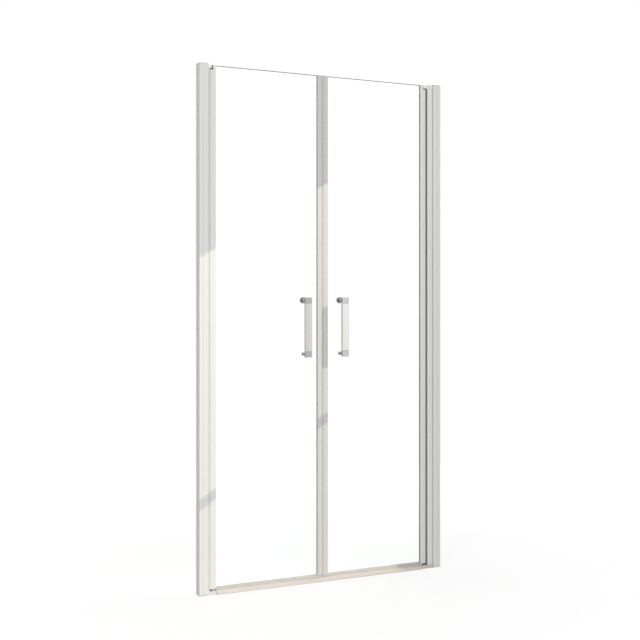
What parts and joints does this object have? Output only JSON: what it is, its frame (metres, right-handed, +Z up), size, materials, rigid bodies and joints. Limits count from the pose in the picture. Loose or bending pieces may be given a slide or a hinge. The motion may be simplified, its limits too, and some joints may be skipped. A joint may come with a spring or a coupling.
{
  "type": "double pivot shower door",
  "caption": "Frameless-look shower door with clear glass leaves that swing both ways on pivots between telescoping aluminium wall profiles, with bar handles and a low threshold.",
  "frame": {"origin": "middle of the threshold rail's underside, below the meeting line of the closed leaves", "axes": "+Z up, +X along the door to the right as seen from outside, -Y towards the outside, where the bar handles are"},
  "size_m": [1.0025, 0.0668, 1.9],
  "materials": {
    "silver_aluminium": "matt silver anodised",
    "satin_aluminium": "satin brushed",
    "clear_glass": "clear tempered, polished edges",
    "clear_seal": "translucent soft PVC",
    "grey_plastic": "moulded, silver grey",
    "bush_nylon": "moulded black nylon",
    "stainless_steel": "turned stainless steel",
    "magnet_rubber": "magnet strip, dark brown",
    "chrome": "polished chrome plated",
    "dark_chrome": "polished chrome plated, dark reflections"
  },
  "bodies": {
    "frame": {"left_jamb_profile": "silver_aluminium", "right_jamb_profile": "silver_aluminium", "threshold_rail": "silver_aluminium", "left_top_bracket": "silver_aluminium", "right_top_bracket": "silver_aluminium", "left_bottom_bracket": "silver_aluminium", "right_bottom_bracket": "silver_aluminium", "left_top_bush": "bush_nylon", "right_top_bush": "bush_nylon", "left_bottom_bush": "bush_nylon", "right_bottom_bush": "bush_nylon", "bracket_screws": "stainless_steel", "clamp_screws": "stainless_steel"},
    "left_wall": {"left_wall_profile": "silver_aluminium", "left_wall_cap": "grey_plastic"},
    "right_wall": {"right_wall_profile": "silver_aluminium", "right_wall_cap": "grey_plastic"},
    "left_leaf": {"left_hinge_profile": "silver_aluminium", "left_hinge_seal": "clear_seal", "left_hinge_gasket": "clear_seal", "left_top_pin": "stainless_steel", "left_bottom_pin": "stainless_steel", "left_top_hinge_cap": "grey_plastic", "left_bottom_hinge_cap": "grey_plastic", "left_glass_panel": "clear_glass", "left_closing_gasket": "clear_seal", "left_closing_profile": "silver_aluminium", "left_magnet_seal": "clear_seal", "left_magnet_strip": "magnet_rubber", "left_closing_top_cap": "grey_plastic", "left_closing_bottom_cap": "grey_plastic", "left_drip_seal": "clear_seal", "left_handle_bar": "satin_aluminium", "left_handle_top_block": "chrome", "left_handle_bottom_block": "chrome", "left_handle_screws": "stainless_steel", "left_handle_washers": "clear_seal", "left_inner_knob": "dark_chrome"},
    "right_leaf": {"right_hinge_profile": "silver_aluminium", "right_hinge_seal": "clear_seal", "right_hinge_gasket": "clear_seal", "right_top_pin": "stainless_steel", "right_bottom_pin": "stainless_steel", "right_top_hinge_cap": "grey_plastic", "right_bottom_hinge_cap": "grey_plastic", "right_glass_panel": "clear_glass", "right_closing_gasket": "clear_seal", "right_closing_profile": "silver_aluminium", "right_magnet_seal": "clear_seal", "right_magnet_strip": "magnet_rubber", "right_closing_top_cap": "grey_plastic", "right_closing_bottom_cap": "grey_plastic", "right_drip_seal": "clear_seal", "right_handle_bar": "satin_aluminium", "right_handle_top_block": "chrome", "right_handle_bottom_block": "chrome", "right_handle_screws": "stainless_steel", "right_handle_washers": "clear_seal", "right_inner_knob": "dark_chrome"}
  },
  "joints": [
    {"name": "left_leaf_swing", "type": "hinge", "parent": "frame", "child": "left_leaf", "pos_m": [-0.4445, 0, 0.95], "axis": [0, 0, 1], "range_deg": [-90, 90]},
    {"name": "right_leaf_swing", "type": "hinge", "parent": "frame", "child": "right_leaf", "pos_m": [0.4445, 0, 0.95], "axis": [0, 0, -1], "range_deg": [-90, 90]},
    {"name": "left_width_slide", "type": "slide", "parent": "frame", "child": "left_wall", "axis": [-1, 0, 0], "range_m": [0, 0.02]},
    {"name": "right_width_slide", "type": "slide", "parent": "frame", "child": "right_wall", "axis": [1, 0, 0], "range_m": [-0.0175, 0.0025]}
  ]
}
